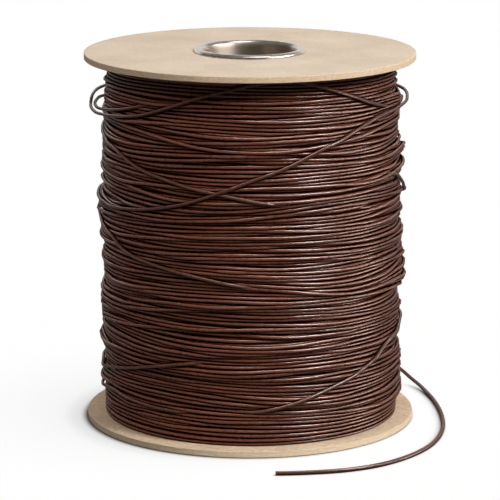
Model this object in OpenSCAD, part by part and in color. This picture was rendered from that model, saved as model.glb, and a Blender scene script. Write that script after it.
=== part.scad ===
/* [Spool] */
// Height of the spool over both flange faces
spool_h = 101.5; // [60:0.5:160]
// Diameter of the hole that a spindle goes through
bore_d = 25; // [16:0.5:32]

/* [Flanges] */
// Diameter of each board flange
flange_d = 90; // [89:1:130]
// Thickness of the flange board
flange_t = 1.7; // [1.3:0.1:3]
// Radius worn onto the cut edge of the board
flange_edge_r = 0.2; // [0.1:0.05:0.5]

/* [Core tube] */
// Wall of the paperboard tube between the flanges
core_wall = 2; // [1:0.1:4]

/* [Ferrules] */
// Thickness of the ferrule metal
ferrule_wall = 0.5; // [0.3:0.05:0.6]
// Length of a ferrule barrel, from the lip into the spool
barrel_l = 12; // [6:0.5:20]
// Width of the rolled lip, from the hole to its outer edge
lip_w = 2.7; // [2.2:0.1:4]
// Height of the upper lip above the board
lip_h = 0.9; // [0.8:0.05:1.4]
// Height of the lower lip, which is pressed flush into the board
sunk_lip_h = 0.8; // [0.7:0.05:1]
// Radial gap between a ferrule and the board and tube around it
ferrule_fit = 0.05; // [0:0.01:0.15]

/* [Thread] */
// Diameter of the waxed thread
thread_d = 1; // [0.6:0.05:1.2]
// Diameter of the wound pack where it meets the lower flange
pack_foot_d = 78; // [60:0.1:79]
// Diameter of the wound pack where it meets the upper flange
pack_top_d = 77; // [60:0.1:79]
// How far the belly of the pack stands out past its ends, on the radius
pack_belly = 1.4; // [0:0.1:2.2]

/* [Outer turns] */
// Turns that climb side by side over the pack
climb_turns = 20; // [12:1:20]
// Slack turns that come down across them
cross_turns = 4; // [2:1:4]
// How far a climbing turn wanders from its even pitch
wander = 1; // [0:0.1:1.2]
// How far a crossing turn wanders from its even slope
cross_wander = 3; // [0:0.1:4]
// Gap left under the crossing turns
cross_gap = 0.5; // [0.45:0.05:0.8]
// Extra stand-off of the crossing turns at the two sides
side_slack = 0.8; // [0:0.1:1]

/* [Hidden] */
$fn = 96;

board_colour = [0.80, 0.68, 0.54];
tube_colour = [0.62, 0.50, 0.37];
metal_colour = [0.76, 0.75, 0.72];
thread_colour = [0.26, 0.14, 0.10];

bore_r = bore_d / 2;
flange_r = flange_d / 2;
barrel_r = bore_r + ferrule_wall;
hole_r = barrel_r + ferrule_fit;
lip_r = bore_r + lip_w;
core_r = hole_r + core_wall;
core_l = spool_h - 2 * flange_t;
recess_h = sunk_lip_h + ferrule_fit;

foot_r = pack_foot_d / 2;
top_r = pack_top_d / 2;
pack_points = 24;
belly_power = 0.7;

turn_steps = 24;
turn_sides = 6;
strand_r = thread_d / 2;
strand_bed = thread_d / 20;
strand_flat = strand_r * cos(180 / turn_sides);
chord_share = cos(180 / turn_steps);
cross_lift = thread_d + cross_gap;
lowest_z = flange_t + thread_d;
highest_z = spool_h - flange_t - thread_d;
all_turns = climb_turns + cross_turns;
lift_turns = 0.5;
climb_wave = 1.31;
cross_wave = 0.83;
slack_power = 6;
gap_samples = 4;

// Route of the free end, from where it leaves the winding to its cut end
tail_route = [
    [1.5, 41.7, 9], [8, 41.9, 8.9], [14.5, 42, 8.7], [21, 41.8, 8.3], [27.2, 41.1, 7.7],
    [33, 39.6, 6.8], [38.3, 37.1, 5.6], [43, 32.9, 4], [46.3, 28.2, 2.2], [48.8, 23.5, 1.1],
    [50.6, 17.2, 0.6], [51.7, 11.4, 0.5], [52.5, 4.9, 0.5], [53, -1.9, 0.5], [53.1, -8.7, 0.5],
    [52.8, -15.4, 0.5], [51.8, -22.3, 0.5], [50.1, -29, 0.5], [47.6, -35.5, 0.5],
    [44.1, -41.6, 0.5], [39.8, -47.1, 0.5], [34.8, -51.8, 0.5], [29.3, -55.3, 0.5],
    [23.4, -57.7, 0.5], [17.7, -59, 0.5], [12.1, -59.8, 0.5], [6.6, -60.2, 0.5]
];
tail_steps = 3;
tail_sides = 8;
tail_start = tail_route[0];
tail_way = unit(tail_route[1] - tail_route[0]);
exit_angle = atan2(tail_start.y, tail_start.x);
exit_z = tail_start.z;

function unit(v) = v / norm(v);
function mix(a, b, share) = a + (b - a) * share;
function limit(value) = min(1, max(0, value));
function eased(value) = let (s = limit(value)) s * s * (3 - 2 * s);

// Radius of the wound pack at a height
function pack_r(z) = let (up = limit((z - flange_t) / core_l))
    mix(foot_r, top_r, up) + pack_belly * pow(sin(180 * up), belly_power);

// Height of the strand after a number of turns: it climbs, then crosses back down
function strand_z(turns) = turns < climb_turns
    ? mix(lowest_z, highest_z, turns / climb_turns)
        + wander * sin(360 * climb_wave * turns) * sin(180 * turns / climb_turns)
    : let (down = (turns - climb_turns) / cross_turns)
        mix(highest_z, exit_z, down)
        + cross_wander * sin(360 * cross_wave * down * cross_turns) * sin(180 * down);

// How far the strand stands off the climbing turns, with slack at the two sides
function strand_lift(turns, angle) =
    eased((turns - climb_turns + lift_turns) / lift_turns)
        * (cross_lift + side_slack * pow(abs(cos(angle)), slack_power));

// Centre of the strand after a number of turns, with each chord bedded on the pack
function strand_point(turns) =
    let (
        angle = exit_angle + 360 * (all_turns - turns),
        z = strand_z(turns),
        r = (pack_r(z) + strand_flat - strand_bed) / chord_share + strand_lift(turns, angle)
    )
    [r * cos(angle), r * sin(angle), z];

strand_stations = [for (i = [0 : all_turns * turn_steps - 1]) strand_point(i / turn_steps)];
strand_path = concat(
    [[strand_stations[0].x, strand_stations[0].y, flange_t]],
    strand_stations,
    [tail_start - tail_way * thread_d, tail_start]
);

// Point of one turn, part of the way round, on the chord between two stations
function chord_point(turn, step, share) =
    let (i = 1 + turn * turn_steps + step)
    mix(strand_path[i], strand_path[i + 1], share);

function least_gap() = min([
    for (a = [0 : all_turns - 2])
        for (b = [a + 1 : all_turns - 1])
            for (step = [0 : turn_steps - 1])
                for (k = [0 : gap_samples - 1])
                    norm(chord_point(a, step, k / gap_samples)
                        - chord_point(b, step, k / gap_samples))
]) - thread_d;

// Even curve through four route points, between the middle two
function curve(a, b, c, d, t) =
    (2 * b + (c - a) * t + (2 * a - 5 * b + 4 * c - d) * t * t
        + (3 * b - a - 3 * c + d) * t * t * t) / 2;

function route_point(route, i) = route[min(len(route) - 1, max(0, i))];

tail_path = concat(
    [for (i = [0 : len(tail_route) - 2])
        for (k = [0 : tail_steps - 1])
            curve(route_point(tail_route, i - 1), tail_route[i], tail_route[i + 1],
                route_point(tail_route, i + 2), k / tail_steps)],
    [tail_route[len(tail_route) - 1]]
);

// Direction of a path at one of its points
function path_way(path, i) =
    unit(path[min(len(path) - 1, i + 1)] - path[max(0, i - 1)]);

// Ring of points square to the path, with a flat turned along the side vector
function ring(centre, way, side, r, sides) =
    let (u = unit(side - (side * way) * way), v = cross(way, u))
    [for (k = [0 : sides - 1])
        let (angle = 360 * (k + 0.5) / sides)
        centre + r * (cos(angle) * u + sin(angle) * v)];

// Closed tube of triangles over rings of points
module skin_rings(rings) {
    sides = len(rings[0]);
    last = len(rings) - 1;
    points = [for (one = rings) for (p = one) p];
    walls = [
        for (i = [0 : last - 1])
            for (k = [0 : sides - 1])
                let (
                    a = i * sides + k,
                    b = i * sides + (k + 1) % sides
                )
                each [[a, a + sides, b], [b, a + sides, b + sides]]
    ];
    start_cap = [for (k = [1 : sides - 2]) [0, k, k + 1]];
    end = last * sides;
    end_cap = [for (k = [1 : sides - 2]) [end, end + k + 1, end + k]];
    polyhedron(points, concat(walls, start_cap, end_cap));
}

// Segment of a circle that stands on the X axis
module bead_section(width, rise) {
    r = (width * width / 4 + rise * rise) / (2 * rise);
    intersection() {
        translate([0, rise - r]) circle(r);
        translate([-width / 2, 0]) square([width, rise]);
    }
}

// Rolled eyelet: its board face is at z = 0, its lip above and its barrel below
module ferrule(rise) {
    rotate_extrude() {
        translate([bore_r, -barrel_l]) square([ferrule_wall, barrel_l]);
        translate([bore_r + lip_w / 2, 0]) difference() {
            bead_section(lip_w, rise);
            bead_section(lip_w - 2 * ferrule_wall, rise - ferrule_wall);
        }
    }
}

// Die-cut board ring with its outer edge softened
module board_ring() {
    rotate_extrude() {
        translate([hole_r, 0]) square([flange_r - flange_edge_r - hole_r, flange_t]);
        translate([flange_r - 2 * flange_edge_r, flange_edge_r])
            square([2 * flange_edge_r, flange_t - 2 * flange_edge_r]);
        for (y = [flange_edge_r, flange_t - flange_edge_r])
            translate([flange_r - flange_edge_r, y]) circle(flange_edge_r);
    }
}

module bottom_flange() {
    color(board_colour) difference() {
        board_ring();
        translate([0, 0, -recess_h]) cylinder(r = lip_r + ferrule_fit, h = 2 * recess_h);
    }
}

module top_flange() {
    color(board_colour) translate([0, 0, spool_h - flange_t]) board_ring();
}

module core_tube() {
    color(tube_colour) translate([0, 0, flange_t]) rotate_extrude()
        translate([hole_r, 0]) square([core_wall, core_l]);
}

module bottom_ferrule() {
    color(metal_colour) translate([0, 0, recess_h]) mirror([0, 0, 1]) ferrule(sunk_lip_h);
}

module top_ferrule() {
    color(metal_colour) translate([0, 0, spool_h]) ferrule(lip_h);
}

// The many inner layers of thread, as one body of revolution
module thread_pack() {
    belly = [
        for (i = [0 : pack_points])
            let (z = flange_t + core_l * i / pack_points) [pack_r(z), z]
    ];
    color(thread_colour) rotate_extrude()
        polygon(concat([[core_r, flange_t]], belly, [[core_r, flange_t + core_l]]));
}

// The outer layer: one unbroken strand that climbs the pack and crosses back down
module outer_turns() {
    echo(least_gap_mm = least_gap());
    last = len(strand_path) - 1;
    color(thread_colour) skin_rings([
        for (i = [0 : last])
            let (
                p = strand_path[i],
                way = i == last ? tail_way : path_way(strand_path, i)
            )
            ring(p, way, [p.x, p.y, 0], strand_r, turn_sides)
    ]);
}

// The free end, from the winding down to its cut end
module thread_tail() {
    color(thread_colour) skin_rings([
        for (i = [0 : len(tail_path) - 1])
            let (way = i == 0 ? tail_way : path_way(tail_path, i))
            ring(tail_path[i], way, [0, 0, 1], strand_r, tail_sides)
    ]);
}

bottom_flange();
top_flange();
core_tube();
bottom_ferrule();
top_ferrule();
thread_pack();
outer_turns();
thread_tail();
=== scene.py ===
import math

import bpy
import numpy as np
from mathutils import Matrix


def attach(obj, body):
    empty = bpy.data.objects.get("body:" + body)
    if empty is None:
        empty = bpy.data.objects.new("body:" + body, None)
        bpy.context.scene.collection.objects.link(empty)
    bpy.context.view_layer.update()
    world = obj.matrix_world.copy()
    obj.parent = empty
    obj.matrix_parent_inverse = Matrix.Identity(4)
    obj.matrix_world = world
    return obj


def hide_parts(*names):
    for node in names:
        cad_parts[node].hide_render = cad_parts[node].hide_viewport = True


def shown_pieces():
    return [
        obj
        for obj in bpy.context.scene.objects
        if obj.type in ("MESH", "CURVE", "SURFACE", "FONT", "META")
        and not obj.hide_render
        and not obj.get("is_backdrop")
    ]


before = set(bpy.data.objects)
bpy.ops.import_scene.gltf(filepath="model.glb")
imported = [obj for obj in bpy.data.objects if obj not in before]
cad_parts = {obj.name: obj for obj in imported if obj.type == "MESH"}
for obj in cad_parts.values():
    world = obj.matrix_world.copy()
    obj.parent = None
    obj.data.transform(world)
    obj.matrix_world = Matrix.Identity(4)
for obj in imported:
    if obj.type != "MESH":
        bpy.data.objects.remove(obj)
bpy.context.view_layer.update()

mm = 0.001
fullTurn = 2 * math.pi


# camera

cameraSpec = {
    "distance": 784.9,   # in front of the spool's axis, mm
    "height": 220.63,    # above the surface the spool stands on, mm
    "tilt": 12.531,      # looking down by, degrees
    "lens": 210.47,
}


def placeCamera(spec):
    data = bpy.data.cameras.new("lookingDown")
    data.lens = spec["lens"]
    camera = bpy.data.objects.new("lookingDown", data)
    camera.location = (0, -spec["distance"] * mm, spec["height"] * mm)
    camera.rotation_euler = (math.radians(90 - spec["tilt"]), 0, 0)
    bpy.context.scene.collection.objects.link(camera)
    bpy.context.scene.camera = camera


placeCamera(cameraSpec)
print("camera placed")


# paths and tubes

def curveBetween(a, b, c, d, t):
    # from b to c on a curve that would go on smoothly to a and d
    bend = (2 * a - 5 * b + 4 * c - d) * t ** 2 + (3 * b - a - 3 * c + d) * t ** 3
    return (2 * b + (c - a) * t + bend) / 2


def eased(x):
    # from 0 to 1 with a slow start and end
    x = np.clip(x, 0, 1)
    return x * x * (3 - 2 * x)


def smoothPath(route, perSpan):
    # even curve through every point of a route
    p = np.array(route, float)
    p = np.vstack([p[:1], p, p[-1:]])
    t = (np.arange(perSpan) / perSpan)[:, None]
    parts = [curveBetween(a, b, c, d, t) for a, b, c, d in zip(p[:-3], p[1:-2], p[2:-1], p[3:])]
    return np.vstack(parts + [p[-1:]])


def lengthAlong(path):
    return np.concatenate([[0], np.cumsum(np.linalg.norm(np.diff(path, axis=0), axis=1))])


def evenly(path, step):
    # the same path with its points a fixed step apart
    along = lengthAlong(path[:, :3])
    at = np.linspace(0, along[-1], max(2, int(round(along[-1] / step)) + 1))
    return np.column_stack([np.interp(at, along, column) for column in path.T])


def unitRows(v):
    return v / np.linalg.norm(v, axis=1, keepdims=True)


def newPiece(name, points, faces, smoothAngle=50):
    mesh = bpy.data.meshes.new(name)
    mesh.from_pydata((points * mm).tolist(), [], faces)
    mesh.shade_smooth()
    mesh.set_sharp_from_angle(angle=math.radians(smoothAngle))
    piece = bpy.data.objects.new(name, mesh)
    bpy.context.scene.collection.objects.link(piece)
    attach(piece, "root")
    return piece


threadSpec = {
    "width": 1.05,       # mm
    "woundWidth": 0.87,  # where it is pulled tight round the spool, mm
    "ribGap": 0.6,       # between two ribs of the twist, along the thread, mm
    "ribStarts": 6,      # ribs side by side round the thread
    "ribDepth": 0.035,   # share of the radius
}
uvPeriod = threadSpec["ribGap"] * 1000   # a whole number of ribs, so that the map may start again


def threadTube(name, path, lean, sides, width, ribbed=False):
    # tube along the path with its first side towards lean, and a map of length and turn for the twist
    way = unitRows(np.gradient(path, axis=0))
    side = unitRows(lean - way * np.sum(lean * way, axis=1, keepdims=True))
    third = np.cross(way, side)
    along = lengthAlong(path)
    count = len(path)
    angle = fullTurn * (np.arange(sides) + 0.5) / sides
    radius = np.full((count, sides), width / 2)
    if ribbed:
        phase = fullTurn * along[:, None] / threadSpec["ribGap"] + threadSpec["ribStarts"] * angle
        radius *= 1 - threadSpec["ribDepth"] * (0.5 - 0.5 * np.cos(phase))
    across = np.cos(angle)[:, None] * side[:, None] + np.sin(angle)[:, None] * third[:, None]
    skin = path[:, None] + radius[..., None] * across
    points = np.vstack([skin.reshape(-1, 3), path[:1], path[-1:]])

    ring = np.arange(sides)
    nextSide = (ring + 1) % sides
    start = (np.arange(count - 1) * sides)[:, None]
    after = start + sides
    quads = np.stack([start + ring, start + nextSide, after + nextSide, after + ring], axis=-1)
    first, last = count * sides, count * sides + 1
    end = (count - 1) * sides
    caps = [[first, int(b), int(a)] for a, b in zip(ring, nextSide)]
    caps += [[last, int(end + a), int(end + b)] for a, b in zip(ring, nextSide)]
    piece = newPiece(name, points, quads.reshape(-1, 4).tolist() + caps)

    u = np.repeat((along[:-1] % uvPeriod)[:, None], sides, axis=1)
    uNext = u + np.diff(along)[:, None]
    v = np.repeat((ring / sides)[None], count - 1, axis=0)
    vNext = v + 1 / sides
    wall = np.stack([u, v, u, vNext, uNext, vNext, uNext, v], axis=-1).reshape(-1, 2)
    capMap = np.tile([0.0, 0.5], (len(caps) * 3, 1))
    layer = piece.data.uv_layers.new(name="alongThread")
    layer.data.foreach_set("uv", np.vstack([wall, capMap]).astype(np.float32).ravel())
    return piece


# free end of the thread

freeEndSpec = {
    # from the winding down to the cut end, mm
    "route": [
        (1.5, 41.7, 9), (8, 41.9, 8.9), (14.5, 42, 8.7), (21, 41.8, 8.3), (27.2, 41.1, 7.7),
        (33, 39.6, 6.8), (38.3, 37.1, 5.6), (43, 32.9, 4), (46.3, 28.2, 2.2), (48.8, 23.5, 1.1),
        (50.6, 17.2, 0.6), (51.7, 11.4, 0.5), (52.5, 4.9, 0.5), (53, -1.9, 0.5), (53.1, -8.7, 0.5),
        (52.8, -15.4, 0.5), (51.8, -22.3, 0.5), (50.1, -29, 0.5), (47.6, -35.5, 0.5),
        (44.1, -41.6, 0.5), (39.8, -47.1, 0.5), (34.8, -51.8, 0.5), (29.3, -55.3, 0.5),
        (23.4, -57.7, 0.5), (17.7, -59, 0.5), (12.1, -59.8, 0.5), (6.6, -60.2, 0.5),
    ],
    "perSpan": 60,
    "sides": 32,
    "step": 0.1,         # between rings, mm
}


def makeFreeEnd(spec):
    path = evenly(smoothPath(spec["route"], spec["perSpan"]), spec["step"])
    up = np.tile([0.0, 0.0, 1.0], (len(path), 1))
    piece = threadTube("freeThread", path, up, spec["sides"], threadSpec["width"], ribbed=True)
    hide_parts("thread_tail")
    return piece


freeEnd = makeFreeEnd(freeEndSpec)
print("free thread laid")


# winding

windingSpec = {
    "seed": 7,
    "stations": 72,      # points to a turn
    "sides": 8,
    "touch": 0.87,       # between the middles of two strands pressed together, mm
    "turns": 97,         # to a layer
    "layers": 3,
    "lowest": 2.2,       # middle of the strand that lies on the lower flange, mm
    "highest": 99.3,
    "calm": 7.0,         # height near a flange over which the turns straighten, mm
    "ahead": 24,         # stations that the pull on the strand looks ahead
    "pulls": 150,
    # slow tilts and bows: times round the spool, turns between changes, size in mm
    "waves": [(1, 7.0, 0.8), (2, 4.0, 0.5), (3, 2.5, 0.3)],
    "jitter": [(0.28, 0.30), (0.09, 0.12)],   # turns between changes, size in mm
    "slide": 1.6,        # how far a strand may slip sideways into a groove, mm
    "slideSteps": 14,    # tried to each side
    "slideHold": 0.25,   # how firmly a strand keeps to its own height
    "slideSink": 0.28,   # how strongly it is drawn into a groove
    "fullDepth": 2.1,    # above the bed, where a strand starts to slip off the others, mm
    "slideOff": 10.0,    # how strongly it slips off
    "slideStiff": 4.0,   # how stiffly it takes a sideways bend
    "slideStart": 40,    # how firmly a turn goes on from the one before
    "bedGap": 0.5,       # from the bed to the middle of a strand that lies on it, mm
    "outerRadius": 41.0, # about where the outer turns lie, mm
    # radius under the outer layers by height, mm
    "bed": [(0, 37.7), (6, 38.0), (15, 37.9), (30, 37.9), (51, 38.1), (66, 38.0), (79, 37.6),
            (89, 37.25), (95, 36.7), (101.5, 36.0)],
    "offCentre": 0.3,    # how far the winding sits towards +X, mm
}


def bedRadius(z):
    heights, radii = zip(*windingSpec["bed"])
    return np.interp(z, heights, radii)


def softNoise(rng, count, spacing, size):
    # smooth random line with a fresh value every few stations
    at = np.arange(count) / spacing
    knots = rng.normal(0, size, int(at[-1]) + 5)
    i = at.astype(int)
    return curveBetween(knots[i], knots[i + 1], knots[i + 2], knots[i + 3], at - i)


def strandHeights(spec):
    rng = np.random.default_rng(spec["seed"])
    stations = spec["stations"]
    count = spec["layers"] * spec["turns"] * stations + 1
    turn = np.arange(count) / stations
    sweep = turn / spec["turns"]
    share = 1 - np.abs(sweep % 2 - 1)
    low, high = spec["lowest"], spec["highest"]
    z = low + (high - low) * share
    freedom = eased(np.minimum(z - low, high - z) / spec["calm"])
    wander = np.zeros(count)
    for times, every, size in spec["waves"]:
        angle = fullTurn * times * turn
        wander += softNoise(rng, count, every * stations, size) * np.cos(angle)
        wander += softNoise(rng, count, every * stations, size) * np.sin(angle)
    for every, size in spec["jitter"]:
        wander += softNoise(rng, count, every * stations, size)
    return np.clip(z + wander * freedom, low, high)


def restingRadius(z, laidZ, laidR, touch):
    # lowest radius at which a strand at height z clears the strands already laid at that station
    radius = bedRadius(z) + windingSpec["bedGap"]
    if len(laidZ):
        gap = np.abs(z - laidZ)
        over = np.where(gap < touch, laidR + np.sqrt(np.clip(touch ** 2 - gap ** 2, 0, None)), 0)
        radius = np.maximum(radius, over.max(axis=0))
    return radius


def slideIntoGroove(z, laidZ, laidR, startSlide, spec):
    # sideways slip at each station that lets the strand sink deepest without a sharp bend
    reach = spec["slideSteps"]
    step = spec["slide"] / reach
    slips = np.arange(-reach, reach + 1) * step
    tries = np.clip(z[:, None] + slips, spec["lowest"], spec["highest"])
    cost = bedRadius(tries)
    if len(laidZ):
        gap = np.abs(tries[None] - laidZ[..., None])
        over = np.sqrt(np.clip(spec["touch"] ** 2 - gap ** 2, 0, None))
        over = np.where(gap < spec["touch"], laidR[..., None] + over - spec["bedGap"], 0)
        cost = np.maximum(cost, over.max(axis=0))
    proud = np.clip(cost - bedRadius(tries) - spec["fullDepth"], 0, None)
    cost = spec["slideSink"] * cost + spec["slideOff"] * proud ** 2 + spec["slideHold"] * slips ** 2
    total = cost[0] + spec["slideStart"] * (slips - startSlide) ** 2
    cameFrom = np.zeros(cost.shape, int)
    moves = (-2, -1, 0, 1, 2)
    place = np.arange(len(slips))
    for i in range(1, len(z)):
        options = np.full((len(moves), len(slips)), np.inf)
        for k, move in enumerate(moves):
            source = place - move
            inside = (source >= 0) & (source < len(slips))
            options[k, inside] = total[source[inside]] + spec["slideStiff"] * (move * step) ** 2
        best = options.argmin(axis=0)
        cameFrom[i] = place - np.array(moves)[best]
        total = options[best, place] + cost[i]
    chosen = np.zeros(len(z), int)
    chosen[-1] = total.argmin()
    for i in range(len(z) - 1, 0, -1):
        chosen[i - 1] = cameFrom[i, chosen[i]]
    return slips[chosen]


def pullTight(radius, before, sag, pulls):
    # a strand under tension runs straight between the places that hold it up
    pulled = radius.copy()
    for _ in range(pulls):
        left = np.concatenate([[before], pulled[:-1]])
        right = np.concatenate([pulled[1:], pulled[-1:]])
        pulled = np.maximum(radius, (left + right) / 2 - sag)
    return pulled


def windStrand(spec):
    stations = spec["stations"]
    z = strandHeights(spec)
    r = np.zeros(len(z))
    slip = np.zeros(len(z))
    turns = spec["layers"] * spec["turns"]
    soften = np.array([1, 2, 3, 2, 1]) / 9
    sag = spec["outerRadius"] * (1 - math.cos(fullTurn / stations))
    for n in range(turns + 1):
        begin = n * stations
        window = np.arange(begin, min(len(z), begin + stations + spec["ahead"]))
        earlier = np.arange(n)[:, None] * stations + (window % stations)
        slips = slideIntoGroove(z[window], z[earlier], r[earlier], slip[begin - 1] if n else 0, spec)
        lead = slip[begin - 2:begin] if n else slips[:1].repeat(2)
        slips = np.convolve(np.concatenate([lead, slips, slips[-1:].repeat(2)]), soften, "valid")
        laid = window[:stations]
        slip[laid] = slips[:len(laid)]
        wanted = np.clip(z[window] + slips, spec["lowest"], spec["highest"])
        resting = restingRadius(wanted, z[earlier], r[earlier], spec["touch"])
        z[laid] = wanted[:len(laid)]
        before = r[begin - 1] if n else resting[0]
        pulled = pullTight(resting, before, sag, spec["pulls"])
        r[laid] = pulled[:len(laid)]
    return z, r


def onSpool(degrees, radius, height):
    angle = np.radians(degrees)
    x = radius * np.cos(angle) + windingSpec["offCentre"]
    return np.column_stack([x, radius * np.sin(angle), height])


def outward(path):
    lean = path.copy()
    lean[:, 2] = 0
    return lean


strandZ, strandR = windStrand(windingSpec)
stationDegrees = -360.0 * np.arange(len(strandZ)) / windingSpec["stations"]
print("strand wound:", len(strandZ), "stations")


def woundPiece(name, path, sides, width):
    piece = threadTube(name, path, outward(path), sides, width)
    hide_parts("outer_turns")
    return piece


def makeLayers(spec):
    # one piece to a layer; each ends where the next begins
    path = onSpool(stationDegrees, strandR, strandZ)
    size = spec["turns"] * spec["stations"]
    pieces = []
    for layer in range(spec["layers"]):
        part = path[layer * size:(layer + 1) * size + 1]
        pieces.append(woundPiece(f"woundLayer{layer + 1}", part, spec["sides"], threadSpec["woundWidth"]))
    return pieces


woundLayers = makeLayers(windingSpec)
print("layers made")


# strands that cross the others

crossingSpec = {
    "radius": 42,        # about where they lie, mm
    "deepest": 40.0,     # least radius between two points, where none is given, mm
    "perSpan": 40,
    "step": 1.5,         # between rings, mm
    "sides": 10,
    "press": 0.06,       # how far a strand beds into those under it, mm
    "dive": 1.4,         # how far its two ends go down between the others, mm
    "diveLength": 9.0,
    "pulls": 60,
    # degrees round from +X, height, and least radius or 0 where it lies on the others
    "strands": {
        "longCross": [(58, 91.9, 0), (40, 91.3, 0), (24, 90.9, 0), (11.4, 90.6, 41.2),
                      (4.1, 90.3, 42.1), (-4.3, 89.5, 42.4), (-9, 88.6, 42.1), (-16, 88, 0),
                      (-36.5, 86.9, 0), (-53.6, 83.3, 0), (-62.8, 81.2, 0), (-76.8, 76.7, 0),
                      (-90, 73.4, 0), (-110.4, 67.9, 0), (-119.4, 65.9, 0), (-133.3, 63.8, 0),
                      (-150.9, 62.5, 0), (-161.4, 62.5, 0), (-180, 63, 0), (-196, 63.9, 0)],
        "looseLoop": [(112, 90.8, 0), (128, 90.6, 0), (142, 90.2, 41.2), (157.6, 89.7, 42.8),
                      (165.3, 89.7, 43.0), (170.6, 89.6, 43.1), (180.2, 88.9, 43.3), (184.4, 87.1, 43.6),
                      (193.7, 86.4, 43.0), (201.3, 86.7, 42.4), (204, 86.7, 42), (223.1, 88.5, 0),
                      (239, 92, 0), (250.2, 94.8, 0), (268, 98.1, 0), (276.1, 99, 0), (288, 98.9, 0),
                      (293.5, 98.1, 0), (307.5, 95, 0), (321.1, 91.6, 0), (330, 89.9, 0), (340, 88.6, 0)],
        "innerLoop": [(140, 87.5, 0), (152, 87.1, 0), (164.8, 87.4, 42.2), (173.6, 87.7, 42.2),
                      (184.3, 87.4, 42.4), (192.1, 87.2, 41.8), (204.1, 88.1, 0), (216, 89.7, 0),
                      (228, 91.9, 0)],
        "leftUpper": [(-204, 82.6, 0), (-188, 81.4, 0), (-172, 80.1, 0), (-160, 79.1, 0),
                      (-150.1, 78.1, 0), (-138.9, 74.8, 0), (-120.1, 72, 0), (-105.6, 70.2, 0),
                      (-90, 68.2, 0), (-76, 66.8, 0)],
        "leftMiddle": [(-210, 61.3, 0), (-194, 60, 0), (-178, 58.2, 0), (-166, 56.3, 0),
                       (-154, 54.4, 0), (-146.1, 51.5, 0), (-131.2, 49.5, 0), (-116.6, 48, 0),
                       (-99, 45.9, 0), (-86, 44.5, 0)],
        "rightLower": [(16, 29.9, 0), (2, 28.1, 0), (-14.2, 26.1, 0), (-25, 25.2, 0), (-40.7, 20.7, 0),
                       (-54.3, 17.3, 0), (-70.7, 14, 0), (-82.9, 11.8, 0), (-94, 10.6, 0)],
        "leftLow": [(168, 17.6, 0), (180, 16.8, 0), (189, 16, 41.3), (196, 16.3, 41.5),
                    (206, 17.6, 0), (216.8, 19.1, 0), (231.1, 21.6, 0), (244.3, 23.5, 0), (256, 24.3, 0)],
        "leftFoot": [(160, 10.7, 0), (176, 10.8, 0), (188, 10.2, 41.3), (195, 10.6, 41.4),
                     (207, 11.1, 0), (222.9, 10.3, 0), (237.7, 10, 0), (250, 10.2, 0)],
        "rightSlack": [(-30, 71.8, 0), (-20, 70.2, 0), (-11.4, 68, 0), (-7, 66.6, 41.2),
                       (-3.5, 65.3, 41.6), (0, 64, 41.3), (8, 61.8, 0), (20, 59.4, 0)],
        "backUpper": [(150, 58.9, 0), (132, 62.9, 0), (112, 69.5, 0), (92, 75.1, 0), (70, 79.2, 0),
                      (48, 81.2, 0)],
        "backLower": [(30, 40.6, 0), (52, 37.6, 0), (78, 32, 0), (104, 27.4, 0), (128, 25.9, 0),
                      (146, 25.9, 0)],
    },
}


def heldUp(degrees, z, touch):
    # radius at which a strand rests on the wound turns at any angle
    stations = windingSpec["stations"]
    place = (-degrees / 360 * stations) % stations
    station = place.astype(int)
    share = place - station
    turns = np.arange(windingSpec["layers"] * windingSpec["turns"])[:, None]
    index = turns * stations + station
    laidZ = strandZ[index] * (1 - share) + strandZ[index + 1] * share
    laidR = strandR[index] * (1 - share) + strandR[index + 1] * share
    return restingRadius(z, laidZ, laidR, touch)


def layCrossing(name, knots, spec):
    route = np.array(knots, float)
    route[:, 0] = np.radians(route[:, 0]) * spec["radius"]
    route[:, 2] = np.where(route[:, 2] > 0, route[:, 2], spec["deepest"])
    flat = evenly(smoothPath(route, spec["perSpan"]), spec["step"])
    degrees, z, least = np.degrees(flat[:, 0] / spec["radius"]), flat[:, 1], flat[:, 2]
    resting = np.maximum(heldUp(degrees, z, threadSpec["woundWidth"] - spec["press"]), least)
    sag = spec["step"] ** 2 / (2 * spec["radius"])
    radius = pullTight(resting, resting[0], sag, spec["pulls"])
    along = lengthAlong(flat)
    fromEnd = np.minimum(along, along[-1] - along)
    radius -= spec["dive"] * eased(1 - fromEnd / spec["diveLength"])
    path = onSpool(degrees, radius, z)
    return woundPiece(name, path, spec["sides"], threadSpec["woundWidth"])


crossings = [layCrossing(name, knots, crossingSpec) for name, knots in crossingSpec["strands"].items()]


leadInSpec = {
    "points": 70,
    "before": (120, 6),  # stretch on the wound turns, in degrees before the free end leaves
    "height": 12.5,      # where it comes out from between the others, mm
    "above": 0.1,        # above the free end where it meets it, mm
    "sag": 0.02,         # between points, mm
    "swing": 6,          # how late it swings out to the free end's radius, as a power
    "divePoints": 12,    # over which its start comes up
    "straight": 1.2,     # last stretch in line with the free end, mm
    "perSpan": 4,
    "step": 0.8,
}


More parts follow.
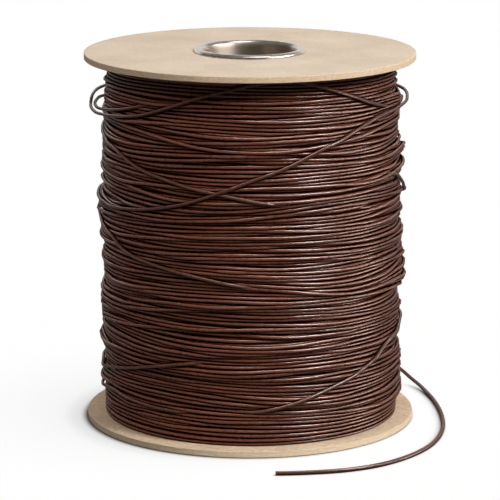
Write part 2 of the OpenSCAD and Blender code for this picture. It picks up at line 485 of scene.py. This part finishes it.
def makeLeadIn(spec):
    # last stretch of the winding, which becomes the free end
    start, after = np.array(freeEndSpec["route"][:2])
    count = spec["points"]
    first, last = np.degrees(np.arctan2(start[1], start[0])) + np.array(spec["before"])
    degrees = np.linspace(first, last, count)
    z = np.linspace(spec["height"], start[2] + spec["above"], count)
    radius = heldUp(degrees, z, threadSpec["width"] - crossingSpec["press"])
    radius = pullTight(radius, radius[0], spec["sag"], crossingSpec["pulls"])
    swing = np.linspace(0, 1, count) ** spec["swing"]
    radius = radius * (1 - swing) + np.hypot(start[0], start[1]) * swing
    radius -= crossingSpec["dive"] * eased(1 - np.arange(count) / spec["divePoints"])
    wound = onSpool(degrees, radius, z)
    toExit = unitRows((after - start)[None])[0]
    path = np.vstack([wound[:-2], [start - toExit * spec["straight"]], [start]])
    path = evenly(smoothPath(path, spec["perSpan"]), spec["step"])
    path[-1] = start
    return woundPiece("leadIn", path, crossingSpec["sides"], threadSpec["width"])


leadIn = makeLeadIn(leadInSpec)
print("crossing strands laid:", len(crossings))


# pieces turned round the axis

def turnedPiece(name, profile, segments, shift=0.0, smoothAngle=50):
    # profile is a closed line of (radius, height); shift moves the points of each segment outwards
    outline = np.array(profile, float)
    rows = len(outline)
    radius = np.tile(outline[:, 0], (segments, 1)) + shift
    height = np.tile(outline[:, 1], (segments, 1))
    angle = (fullTurn * np.arange(segments) / segments)[:, None]
    points = np.stack([radius * np.cos(angle), radius * np.sin(angle), height], axis=-1).reshape(-1, 3)
    here = (np.arange(segments) * rows)[:, None]
    there = ((np.arange(segments) + 1) % segments * rows)[:, None]
    row = np.arange(rows)
    nextRow = (row + 1) % rows
    faces = np.stack([here + row, there + row, there + nextRow, here + nextRow], axis=-1)
    return newPiece(name, points, faces.reshape(-1, 4).tolist(), smoothAngle)


def ripple(rng, segments, rows, blur, size):
    # random unevenness that runs on round the ring
    noise = rng.normal(0, 1, (segments, rows))
    kernel = np.hanning(2 * blur + 3)
    padded = np.vstack([noise[-blur - 1:], noise, noise[:blur + 1]])
    smooth = np.column_stack([np.convolve(column, kernel, "valid") for column in padded.T])
    return size * smooth / smooth.std()


spoolHeight = 101.5      # over the boards, mm

boardSpec = {
    "radius": 45.0,
    "thickness": 1.7,
    "hole": 13.05,
    "worn": 0.16,        # radius of the softened edges, mm
    "plies": 9,          # rows across the cut edge
    "segments": 540,
    "raggedness": 0.022, # how uneven the cut edge is, mm
    "plyShare": 0.8,     # how much of that one ply differs from the next
    "blur": 2,           # segments over which it runs together
    "seed": 3,
    "dent": 0.12,        # how far the ferrule presses the board in round its lip, mm
    "dentReach": (0.8, 0.5, 1.2),   # its start inside the lip, its faint part and its end outside, mm
    "flatFrom": 3.0,     # width outside the lip after which the rows are even, mm
    "faceRows": 14,
    "underRows": 8,
    "cornerRows": 5,
    "rim": 1.2,          # width without rows inside the edge, mm
    "ragged": 0.3,       # width of the band at the edge that is uneven, mm
}
ferruleSpec = {
    "bore": 12.5,
    "wall": 0.5,
    "barrel": 12.0,
    "lipWidth": 2.7,
    "lipHeight": 0.9,
    "sunkHeight": 0.8,   # of the lower one, which lies in a recess
    "room": 0.05,        # round it in that recess, mm
    "flare": 0.9,        # depth below the board at which the mouth meets the barrel, mm
    "shoulder": 0.6,     # depth at which the barrel's outside leaves the lip, mm
    "bevel": 0.1,        # at the barrel's foot, mm
    "unevenness": 0.008, # mm
    "blur": 12,          # segments over which it runs together
    "barrelRows": 14,
    "lipRows": 37,
    "underRows": 19,     # on the lip's hidden side
    "segments": 192,
    "seed": 11,
}
recessTop = ferruleSpec["sunkHeight"] + ferruleSpec["room"]


def boardProfile(spec, upper):
    # closed line round the section, starting at the top of the hole and going outwards
    worn, thick, outer, hole = spec["worn"], spec["thickness"], spec["radius"], spec["hole"]
    lip = ferruleSpec["bore"] + ferruleSpec["lipWidth"]
    dent = spec["dent"] if upper else 0
    begins, faint, ends = spec["dentReach"]
    rim = outer - spec["rim"]
    top = [(hole, thick), (lip - begins, thick), (lip, thick - dent), (lip + faint, thick - dent / 4),
           (lip + ends, thick)]
    top += [(radius, thick) for radius in np.linspace(lip + spec["flatFrom"], rim, spec["faceRows"])]
    quarter = np.linspace(0, math.pi / 2, spec["cornerRows"])
    corner = [(outer - worn + worn * math.sin(a), thick - worn + worn * math.cos(a)) for a in quarter]
    edge = [(outer, z) for z in np.linspace(thick - worn, worn, spec["plies"])[1:-1]]
    under = [(outer - worn + worn * math.cos(a), worn - worn * math.sin(a)) for a in quarter]
    if upper:
        bottom = [(radius, 0) for radius in np.linspace(rim, hole, spec["underRows"])]
    else:
        recess = lip + ferruleSpec["room"]
        bottom = [(radius, 0) for radius in np.linspace(rim, recess, spec["underRows"])]
        bottom += [(recess, recessTop), (hole, recessTop)]
    return top + corner + edge + under + bottom


def makeBoard(name, node, base, spec, upper):
    rng = np.random.default_rng(spec["seed"] + (5 if upper else 0))
    outline = np.array(boardProfile(spec, upper))
    rows = len(outline)
    nearEdge = np.clip((outline[:, 0] - spec["radius"] + spec["ragged"]) / spec["ragged"], 0, 1)
    ragged = ripple(rng, spec["segments"], rows, spec["blur"], spec["raggedness"]) * nearEdge
    plyStep = rng.normal(0, spec["raggedness"] * spec["plyShare"], rows) * nearEdge
    inward = np.minimum(ragged + plyStep, 0.0)
    piece = turnedPiece(name, outline + [0, base], spec["segments"], inward, 40)
    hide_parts(node)
    return piece


lowerBoard = makeBoard("lowerBoard", "bottom_flange", 0.0, boardSpec, False)
upperBoard = makeBoard("upperBoard", "top_flange", spoolHeight - boardSpec["thickness"], boardSpec, True)


def ferruleProfile(spec, lipHeight):
    # section of an eyelet with its board face at height 0 and its barrel below
    bore, wall, width = spec["bore"], spec["wall"], spec["lipWidth"]
    half, inner = width / 2, width / 2 - wall
    middle = bore + half

    def arch(halfWidth, rise, extra, angles):
        # quarter ellipses on each side of the crest, of which the inner one goes down by extra more
        points = []
        for t in angles:
            fall = rise + (extra if t > math.pi / 2 else 0)
            points.append((middle + halfWidth * math.cos(t), rise - fall * (1 - math.sin(t))))
        return points

    outer = arch(half, lipHeight, spec["flare"], np.linspace(math.pi, 0, spec["lipRows"]))
    under = arch(inner, lipHeight - wall, 0.0, np.linspace(0, math.pi, spec["underRows"]))
    depth, bevel = spec["barrel"], spec["bevel"]
    heights = np.linspace(bevel - depth, -spec["flare"] - bevel, spec["barrelRows"])
    barrel = [(bore, z) for z in heights]
    back = [(bore + wall, -spec["shoulder"]), (bore + wall, -depth + 2 * bevel)]
    foot = [(bore + wall, -depth), (bore + bevel, -depth)]
    return barrel + outer + under + back + foot


def makeFerrule(name, node, base, spec, upper):
    profile = np.array(ferruleProfile(spec, spec["lipHeight"] if upper else spec["sunkHeight"]))
    rng = np.random.default_rng(spec["seed"])
    wave = ripple(rng, spec["segments"], 1, spec["blur"], spec["unevenness"])
    if not upper:
        profile = profile[::-1] * [1, -1]
    piece = turnedPiece(name, profile + [0, base], spec["segments"], wave, 60)
    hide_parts(node)
    return piece


upperFerrule = makeFerrule("upperFerrule", "top_ferrule", spoolHeight, ferruleSpec, True)
lowerFerrule = makeFerrule("lowerFerrule", "bottom_ferrule", recessTop, ferruleSpec, False)


bedSpec = {
    "clear": 0.05,       # from the boards, mm
    "below": 0.15,       # under the radius on which the outer layers lie, mm
    "inside": 15.2,      # radius at the tube, mm
    "rows": 60,
    "segments": 144,
}


def makeWindingBed(spec):
    # body of the inner layers, seen only between strands, made dark by the thread's painted crevice shade
    low = boardSpec["thickness"] + spec["clear"]
    high = spoolHeight - low
    skin = [(bedRadius(z) - spec["below"], z) for z in np.linspace(high, low, spec["rows"])]
    profile = skin + [(spec["inside"], low), (spec["inside"], high)]
    piece = turnedPiece("windingBed", profile, spec["segments"])
    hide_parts("thread_pack")
    return piece


windingBed = makeWindingBed(bedSpec)
print("turned pieces made")


# finishes

def startMaterial(name):
    material = bpy.data.materials.new(name)
    material.use_nodes = True
    tree = material.node_tree
    shader = next(n for n in tree.nodes if n.type == "BSDF_PRINCIPLED")
    return material, tree, shader


def addNode(tree, kind, settings=None, inputs=None):
    node = tree.nodes.new(kind)
    for key, value in (settings or {}).items():
        setattr(node, key, value)
    for key, value in (inputs or {}).items():
        if isinstance(value, bpy.types.NodeSocket):
            tree.links.new(value, node.inputs[key])
        else:
            node.inputs[key].default_value = value
    return node


def calc(tree, operation, first, second=0.0, third=0.0):
    node = addNode(tree, "ShaderNodeMath", {"operation": operation}, {0: first, 1: second, 2: third})
    return node.outputs[0]


def blendColours(tree, factor, low, high):
    node = addNode(tree, "ShaderNodeMix", {"data_type": "RGBA"}, {"Factor": factor, 6: low, 7: high})
    return node.outputs[2]


def spread(tree, value, low, high, fromLow=0.0, fromHigh=1.0):
    node = addNode(tree, "ShaderNodeMapRange", None, {
        "Value": value, "From Min": fromLow, "From Max": fromHigh, "To Min": low, "To Max": high})
    return node.outputs[0]


def cloud(tree, vector, scale, detail=3.0, roughness=0.5):
    node = addNode(tree, "ShaderNodeTexNoise", None, {
        "Vector": vector, "Scale": scale, "Detail": detail, "Roughness": roughness})
    return node.outputs[0]


def stretched(tree, vector, x, y, z):
    node = addNode(tree, "ShaderNodeMapping", None, {"Vector": vector, "Scale": (x, y, z)})
    return node.outputs[0]


def bumpOf(tree, height, distance, strength, before=None):
    inputs = {"Height": height, "Distance": distance, "Strength": strength}
    if before is not None:
        inputs["Normal"] = before
    return addNode(tree, "ShaderNodeBump", None, inputs).outputs[0]


threadFinish = {
    "deep": (0.152, 0.036, 0.0145, 1),
    "warm": (0.30, 0.082, 0.037, 1),
    "toneChange": 0.02,      # changes of tone along the thread, to a mm
    "patches": 900,
    "fibres": 5200,
    # painted shade: near-black colour the thread takes where other strands or the floor shut it in
    "paintedCreviceShade": (0.005, 0.0013, 0.0009, 1),
    "creviceReach": 0.7,     # how near other surfaces must lie for that painted shade, mm
    "openness": (0.68, 0.98),            # what counts as shut in and as open
    "bloom": (0.23, 0.10, 0.066, 1),     # wax that has turned pale on the surface
    "bloomShare": 0.10,
    "paintedRibLight": (-0.08, 0.28),            # pale colour taken out between the ribs and put on them: painted shade and painted highlight of the twist
    "ribBump": 0.00009,
    "fibreBump": 0.00001,
    "coatRib": 0.000005,     # what the wax lets through of it
    "gloss": (0.24, 0.36),
    "wax": 0.6,              # shine of the ribs
    "waxCoat": (0.08, 0.78), # and of the smooth wax between and on them
    "coatGloss": 0.155,
    "shine": (1.0, 0.84, 0.76, 1),
    "ior": 1.46,
}
loosePaintedShadeFinish = {
    # darker copy of the same thread, with less pale wax and shine: painted shade for strands that stand
    # clear, to match the wound ones darkened by the painted crevice shade
    "deep": (0.09, 0.027, 0.013, 1),
    "warm": (0.165, 0.055, 0.030, 1),
    "bloomShare": 0.06,
    "creviceReach": 0.3,
    "wax": 0.4,
    "waxCoat": (0.08, 0.50),
}


def waxedThread(name, finish):
    material, tree, shader = startMaterial(name)
    place = addNode(tree, "ShaderNodeTexCoord").outputs["Object"]
    threadMap = addNode(tree, "ShaderNodeUVMap", {"uv_map": "alongThread"}).outputs[0]
    along, around = addNode(tree, "ShaderNodeSeparateXYZ", None, {0: threadMap}).outputs[:2]
    phase = calc(tree, "MULTIPLY", along, fullTurn / threadSpec["ribGap"])
    phase = calc(tree, "MULTIPLY_ADD", around, fullTurn * threadSpec["ribStarts"], phase)
    rib = calc(tree, "COSINE", phase)

    tone = addNode(tree, "ShaderNodeTexNoise", {"noise_dimensions": "1D"}, {
        "W": calc(tree, "MULTIPLY", along, finish["toneChange"]), "Scale": 1.0, "Detail": 2.0}).outputs[0]
    patches = cloud(tree, place, finish["patches"], 4, 0.6)
    fibres = cloud(tree, place, finish["fibres"], 2, 0.5)
    warmth = calc(tree, "ADD", spread(tree, tone, 0.0, 0.7, 0.3, 0.7), spread(tree, patches, -0.15, 0.35))
    colour = blendColours(tree, warmth, finish["deep"], finish["warm"])
    paler = spread(tree, patches, 0.0, finish["bloomShare"], 0.52, 0.72)
    # painted highlight and shade of the twist: paler on the rib crests, darker between them
    paintedRibLight = spread(tree, rib, *finish["paintedRibLight"], -1.0, 1.0)
    colour = blendColours(tree, calc(tree, "ADD", paler, paintedRibLight), colour, finish["bloom"])

    # painted shade: the colour goes near black where the thread is shut in, and its shine is dimmed there
    # too
    openness = addNode(tree, "ShaderNodeAmbientOcclusion", {"samples": 4}, {
        "Distance": finish["creviceReach"] * mm}).outputs["AO"]
    openness = spread(tree, openness, 0.0, 1.0, *finish["openness"])
    tree.links.new(blendColours(tree, openness, finish["paintedCreviceShade"], colour), shader.inputs["Base Color"])
    bare = calc(tree, "MULTIPLY", openness, openness)
    tree.links.new(calc(tree, "MULTIPLY", bare, finish["wax"]), shader.inputs["Specular IOR Level"])
    coat = calc(tree, "MULTIPLY", bare, spread(tree, rib, *finish["waxCoat"], -1.0, 1.0))
    tree.links.new(coat, shader.inputs["Coat Weight"])
    shader.inputs["Coat Roughness"].default_value = finish["coatGloss"]
    shader.inputs["Specular Tint"].default_value = finish["shine"]
    tree.links.new(spread(tree, patches, *finish["gloss"], 0.3, 0.7), shader.inputs["Roughness"])
    soft = bumpOf(tree, fibres, finish["fibreBump"], 0.5)
    tree.links.new(bumpOf(tree, rib, finish["coatRib"], 1.0), shader.inputs["Coat Normal"])
    tree.links.new(bumpOf(tree, rib, finish["ribBump"], 0.7, soft), shader.inputs["Normal"])
    shader.inputs["IOR"].default_value = finish["ior"]
    return material


boardFinish = {
    "face": (0.615, 0.495, 0.375, 1),
    "pale": (0.79, 0.655, 0.512, 1),
    "fleck": (0.40, 0.29, 0.19, 1),
    "blotches": 0.0,         # how strongly the sheet is mottled
    # cut edge: its own fibrous colour, painted paler and warmer than the face to stand in for the light
    # the upright edge lacks
    "cut": (0.705, 0.49, 0.295, 1),
    "cutPale": (0.93, 0.725, 0.52, 1),
    "mottleScale": 70,
    "blotchScale": 620,
    "fibreScale": 1500,
    "fleckScale": 2100,
    "grainBump": 0.00006,
    "plyBump": 0.00008,
    "shine": 0.15,
}
lowerPaintedLightFinish = {
    # the same board as the upper one, given warmer face colours and much paler cut edges: painted warm
    # bounce from the thread and painted light on the edge; the blotches are the sheet's own mottling
    "face": (0.615, 0.45, 0.298, 1),
    "pale": (0.845, 0.645, 0.452, 1),
    "fleck": (0.34, 0.225, 0.125, 1),
    "blotches": 0.9,
    "cut": (0.86, 0.635, 0.415, 1),
    "cutPale": (1.0, 0.825, 0.60, 1),
}


def plainBoard(name, finish):
    material, tree, shader = startMaterial(name)
    place = addNode(tree, "ShaderNodeTexCoord").outputs["Object"]
    facing = addNode(tree, "ShaderNodeNewGeometry").outputs["True Normal"]
    upward = calc(tree, "ABSOLUTE", addNode(tree, "ShaderNodeSeparateXYZ", None, {0: facing}).outputs[2])
    isEdge = spread(tree, upward, 1.0, 0.0, 0.35, 0.8)
    mottle = cloud(tree, place, finish["mottleScale"], 3, 0.55)
    fibre = cloud(tree, place, finish["fibreScale"], 5, 0.7)
    longFibre = cloud(tree, stretched(tree, place, 1, 0.35, 1), finish["fleckScale"], 4, 0.6)
    grainy = spread(tree, fibre, -0.45, 0.45, 0.25, 0.75)
    pale = calc(tree, "ADD", spread(tree, mottle, 0.1, 0.7, 0.3, 0.7), grainy)
    blotch = spread(tree, cloud(tree, place, finish["blotchScale"], 4, 0.65), -0.5, 0.5, 0.3, 0.7)
    pale = calc(tree, "MULTIPLY_ADD", blotch, finish["blotches"], pale)
    face = blendColours(tree, pale, finish["face"], finish["pale"])
    flecks = spread(tree, longFibre, 0.0, 0.35, 0.60, 0.74)
    face = blendColours(tree, flecks, face, finish["fleck"])
    plies = cloud(tree, stretched(tree, place, 0.5, 0.5, 1.6), finish["fleckScale"], 4, 0.65)
    # upright surfaces take the cut colour, which holds painted light
    cut = blendColours(tree, spread(tree, plies, 0.0, 1.0, 0.3, 0.7), finish["cut"], finish["cutPale"])
    tree.links.new(blendColours(tree, isEdge, face, cut), shader.inputs["Base Color"])
    tree.links.new(spread(tree, fibre, 0.78, 0.95), shader.inputs["Roughness"])
    grain = bumpOf(tree, fibre, finish["grainBump"], 0.6)
    grain = bumpOf(tree, plies, finish["plyBump"], calc(tree, "MULTIPLY", isEdge, 0.8), grain)
    tree.links.new(grain, shader.inputs["Normal"])
    shader.inputs["Specular IOR Level"].default_value = finish["shine"]
    return material


metalFinish = {
    "bright": (0.90, 0.84, 0.76, 1),
    "dull": (0.75, 0.69, 0.61, 1),
    "inside": (0.66, 0.56, 0.45, 1),     # warmer and darker down the barrel: painted reflection of the beige board and painted shade in the bore
    "gloss": (0.22, 0.32),
    "insideGloss": 0.45,
    "drawn": 0.85,                       # how strongly the barrel's rings smear what it mirrors
    "mouth": (12.62, 12.9),              # radius over which the barrel's finish gives way, mm
    "lineScale": 6000,
    "smudgeScale": 160,
    "grainScale": 3500,
    "grainBump": 0.000012,
    "lineBump": 0.000008,
}


def satinMetal(finish):
    material, tree, shader = startMaterial("satinMetal")
    place = addNode(tree, "ShaderNodeTexCoord").outputs["Object"]
    xyz = addNode(tree, "ShaderNodeSeparateXYZ", None, {0: place}).outputs
    flat = addNode(tree, "ShaderNodeCombineXYZ", None, {0: xyz[0], 1: xyz[1]}).outputs[0]
    away = addNode(tree, "ShaderNodeVectorMath", {"operation": "LENGTH"}, {0: flat}).outputs["Value"]
    ringwise = addNode(tree, "ShaderNodeCombineXYZ", None, {
        0: away, 1: xyz[2], 2: calc(tree, "MULTIPLY", xyz[0], 0.02)}).outputs[0]
    lines = cloud(tree, ringwise, finish["lineScale"], 3, 0.6)
    smudge = cloud(tree, place, finish["smudgeScale"], 3, 0.5)
    nearMouth, outOfMouth = finish["mouth"]
    inside = spread(tree, away, 1.0, 0.0, nearMouth * mm, outOfMouth * mm)
    polish = spread(tree, smudge, 0.0, 1.0, 0.35, 0.65)
    colour = blendColours(tree, polish, finish["dull"], finish["bright"])
    # painted reflection and painted shade down the barrel
    tree.links.new(blendColours(tree, inside, colour, finish["inside"]), shader.inputs["Base Color"])
    shine = spread(tree, calc(tree, "ADD", lines, smudge), *finish["gloss"], 0.7, 1.3)
    duller = calc(tree, "MULTIPLY", inside, finish["insideGloss"] - finish["gloss"][0])
    tree.links.new(calc(tree, "ADD", shine, duller), shader.inputs["Roughness"])
    grain = bumpOf(tree, cloud(tree, place, finish["grainScale"], 3, 0.6), finish["grainBump"], 0.3)
    tree.links.new(bumpOf(tree, lines, finish["lineBump"], 0.3, grain), shader.inputs["Normal"])
    tree.links.new(calc(tree, "MULTIPLY", inside, finish["drawn"]), shader.inputs["Anisotropic"])
    shader.inputs["Anisotropic Rotation"].default_value = 0.25
    tree.links.new(addNode(tree, "ShaderNodeTangent", {"axis": "Z"}).outputs[0], shader.inputs["Tangent"])
    shader.inputs["Metallic"].default_value = 1.0
    return material


tubeFinish = {
    "inside": (0.36, 0.27, 0.18, 1),
    "pale": (0.50, 0.39, 0.27, 1),
    "seam": (0.12, 0.08, 0.05, 1),
    "lead": 62.0,        # height the strip climbs in one turn, mm
    "fibreScale": 900,
    "seamDepth": 2.0,    # next to the fibre's height
    "fibreBump": 0.00006,
}


def tubeBoard(finish):
    # paperboard wound from a slanting strip, so one seam climbs round the bore
    material, tree, shader = startMaterial("tubeBoard")
    place = addNode(tree, "ShaderNodeTexCoord").outputs["Object"]
    xyz = addNode(tree, "ShaderNodeSeparateXYZ", None, {0: place}).outputs
    around = calc(tree, "DIVIDE", calc(tree, "ARCTAN2", xyz[1], xyz[0]), fullTurn)
    climb = calc(tree, "MULTIPLY", xyz[2], 1 / (finish["lead"] * mm))
    strip = calc(tree, "FRACT", calc(tree, "ADD", climb, calc(tree, "ADD", around, 2.0)))
    seam = spread(tree, calc(tree, "ABSOLUTE", calc(tree, "SUBTRACT", strip, 0.5)), 1.0, 0.0, 0.0, 0.02)
    fibre = cloud(tree, place, finish["fibreScale"], 5, 0.7)
    colour = blendColours(tree, spread(tree, fibre, 0, 1, 0.3, 0.7), finish["inside"], finish["pale"])
    tree.links.new(blendColours(tree, seam, colour, finish["seam"]), shader.inputs["Base Color"])
    tree.links.new(spread(tree, fibre, 0.8, 0.95), shader.inputs["Roughness"])
    height = calc(tree, "SUBTRACT", fibre, calc(tree, "MULTIPLY", seam, finish["seamDepth"]))
    tree.links.new(bumpOf(tree, height, finish["fibreBump"], 0.5), shader.inputs["Normal"])
    return material


def dress(piece, material):
    piece.data.materials.clear()
    piece.data.materials.append(material)


thread = waxedThread("waxedThread", threadFinish)
for piece in [leadIn, windingBed] + woundLayers:
    dress(piece, thread)
loosePaintedShadeThread = waxedThread("loosePaintedShadeThread", {**threadFinish, **loosePaintedShadeFinish})
for piece in [freeEnd] + crossings:
    dress(piece, loosePaintedShadeThread)
dress(upperBoard, plainBoard("plainBoard", boardFinish))
dress(lowerBoard, plainBoard("lowerBoard", {**boardFinish, **lowerPaintedLightFinish}))
metal = satinMetal(metalFinish)
dress(upperFerrule, metal)
dress(lowerFerrule, metal)
dress(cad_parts["core_tube"], tubeBoard(tubeFinish))
print("finishes given")


# floor and light

studioSpec = {
    "floorSize": 8.0,          # m
    "floorDrop": 0.00006,      # below the spool, m
    "floorColour": (0.55, 0.55, 0.55, 1),
    "floorGlow": 0.875,        # added for the camera alone, so that the floor is white
    # painted shadows, where that glow fades near the spool: reach in m, how far the view of the sky leans
    # towards +X, the glow left at the darkest, and how open a place is there and where none is lost
    "paintedContactShadow": (0.0027, 0.3, 0.0, 0.45, 0.87),
    "paintedNearShadow": (0.0145, 1.0, 0.62, 0.3, 0.89),
    "glowInGloss": 0.12,       # share of the glow that reflections see
    "sky": (1.0, 0.99, 0.97, 1),
    "skyStrength": 0.05,
    "backdropGloss": 0.10,     # how bright the backdrop is in reflections
    "sun": (-15, 78, 0.55, 30),   # degrees round from +X, elevation, strength, spread in degrees
    "aimHeight": 0.05,         # of the point that the soft boxes face, m
    # soft boxes: degrees round, elevation, distance, width and height in m, light at the spool,
    # whether they light surfaces and shine in them, and the pieces they reach
    "boxes": {
        "key": (-35, 33, 0.9, 0.28, 0.20, 2.4, True, True, "unplated"),
        "keyPlated": (-16, 33, 0.9, 0.80, 0.20, 2.5, False, True, "plated"),
        "behindPlated": (92, 18, 1.0, 2.40, 0.60, 0.95, False, True, "plated"),
        "fill": (-138, 46, 1.0, 0.60, 0.45, 1.3, True, False, "wound"),
        "fillBoards": (-145, 60, 1.0, 0.60, 0.45, 1.03, True, False, "boards"),
        "frontBoards": (-45, 15, 1.0, 0.60, 0.40, 0.40, True, False, "boards"),
        "back": (84, 30, 1.0, 1.50, 0.50, 1.35, True, True, "wound"),
        "backBoards": (79, 30, 1.0, 1.60, 0.50, 1.1, True, True, "boards"),
        "left": (160, 38, 1.0, 1.60, 0.45, 0.92, False, True, "wound"),
        "strip": (-31, 44, 0.9, 0.42, 0.36, 11.6, False, True, "wound"),
        "ceiling": (-90, 85, 1.0, 3.0, 3.0, 0.9, False, True, "plated"),
    },
}


def makeFloor(spec):
    half = spec["floorSize"] / 2
    mesh = bpy.data.meshes.new("floor")
    corners = [(-half, -half), (half, -half), (half, half), (-half, half)]
    mesh.from_pydata([(x, y, -spec["floorDrop"]) for x, y in corners], [], [(0, 1, 2, 3)])
    floor = bpy.data.objects.new("floor", mesh)
    bpy.context.scene.collection.objects.link(floor)
    material, tree, shader = startMaterial("paleFloor")
    shader.inputs["Base Color"].default_value = spec["floorColour"]
    shader.inputs["Roughness"].default_value = 1.0
    shader.inputs["Specular IOR Level"].default_value = 0.0
    shader.inputs["Emission Color"].default_value = (1, 1, 1, 1)
    rays = addNode(tree, "ShaderNodeLightPath").outputs
    mirrored = calc(tree, "MAXIMUM", rays["Is Glossy Ray"], rays["Is Transmission Ray"])
    mirrored = calc(tree, "MULTIPLY", mirrored, spec["glowInGloss"])
    seen = calc(tree, "MAXIMUM", rays["Is Camera Ray"], mirrored)
    glow = calc(tree, "MULTIPLY", seen, spec["floorGlow"])
    # painted shadow: the glow dims where the spool shuts out the sky, more on its left
    for reach, lean, least, closed, clearOf in (spec["paintedContactShadow"], spec["paintedNearShadow"]):
        facing = addNode(tree, "ShaderNodeCombineXYZ", None, {0: lean, 2: 1.0}).outputs[0]
        openness = addNode(tree, "ShaderNodeAmbientOcclusion", {"samples": 16}, {
            "Distance": reach, "Normal": facing}).outputs["AO"]
        glow = calc(tree, "MULTIPLY", glow, spread(tree, openness, least, 1.0, closed, clearOf))
    tree.links.new(glow, shader.inputs["Emission Strength"])
    mesh.materials.append(material)
    floor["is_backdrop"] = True


def makeSky(spec):
    # white for the camera, a pale backdrop behind the spool in reflections, and a dim room elsewhere
    world = bpy.data.worlds.new("studio")
    world.use_nodes = True
    tree = world.node_tree
    background = next(n for n in tree.nodes if n.type == "BACKGROUND")
    rays = addNode(tree, "ShaderNodeLightPath").outputs
    direction = addNode(tree, "ShaderNodeTexCoord").outputs["Generated"]
    behind = addNode(tree, "ShaderNodeSeparateXYZ", None, {0: direction}).outputs[1]
    mirrored = calc(tree, "MAXIMUM", rays["Is Glossy Ray"], rays["Is Transmission Ray"])
    backdrop = spread(tree, behind, 0.0, spec["backdropGloss"], 0.1, 0.7)
    room = calc(tree, "MAXIMUM", calc(tree, "MULTIPLY", backdrop, mirrored), spec["skyStrength"])
    colour = blendColours(tree, rays["Is Camera Ray"], spec["sky"], (1, 1, 1, 1))
    tree.links.new(colour, background.inputs["Color"])
    tree.links.new(calc(tree, "MAXIMUM", room, rays["Is Camera Ray"]), background.inputs["Strength"])
    bpy.context.scene.world = world


def aimed(name, data, around, elevation):
    lamp = bpy.data.objects.new(name, data)
    lamp.rotation_euler = (math.radians(90 - elevation), 0, math.radians(around + 90))
    bpy.context.scene.collection.objects.link(lamp)
    return lamp


def makeLamps(spec):
    around, elevation, strength, softness = spec["sun"]
    sun = bpy.data.lights.new("overhead", "SUN")
    sun.energy = strength
    sun.angle = math.radians(softness)
    aimed("overhead", sun, around, elevation)
    plated = [upperFerrule, lowerFerrule]
    reached = {
        "plated": plated,
        "unplated": [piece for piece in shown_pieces() if piece not in plated],
        "wound": [freeEnd, leadIn] + woundLayers + crossings,
        "boards": [upperBoard, lowerBoard, windingBed],
    }
    groups = {}
    for name, members in reached.items():
        groups[name] = bpy.data.collections.new(name)
        for piece in members:
            groups[name].objects.link(piece)
    for name, box in spec["boxes"].items():
        around, elevation, distance, width, height, light, lights, shines, group = box
        data = bpy.data.lights.new(name, "AREA")
        data.shape = "RECTANGLE"
        data.size = width
        data.size_y = height
        data.energy = light * math.pi * distance ** 2
        lamp = aimed(name, data, around, elevation)
        flat = distance * math.cos(math.radians(elevation))
        rise = distance * math.sin(math.radians(elevation))
        lamp.location = (flat * math.cos(math.radians(around)), flat * math.sin(math.radians(around)),
                         rise + spec["aimHeight"])
        lamp.visible_diffuse = lights
        lamp.visible_glossy = shines
        lamp.light_linking.receiver_collection = groups[group]   # the floor is left to the sun and the sky


makeFloor(studioSpec)
makeSky(studioSpec)
makeLamps(studioSpec)
bpy.context.scene.view_settings.view_transform = "Standard"
print("studio ready")
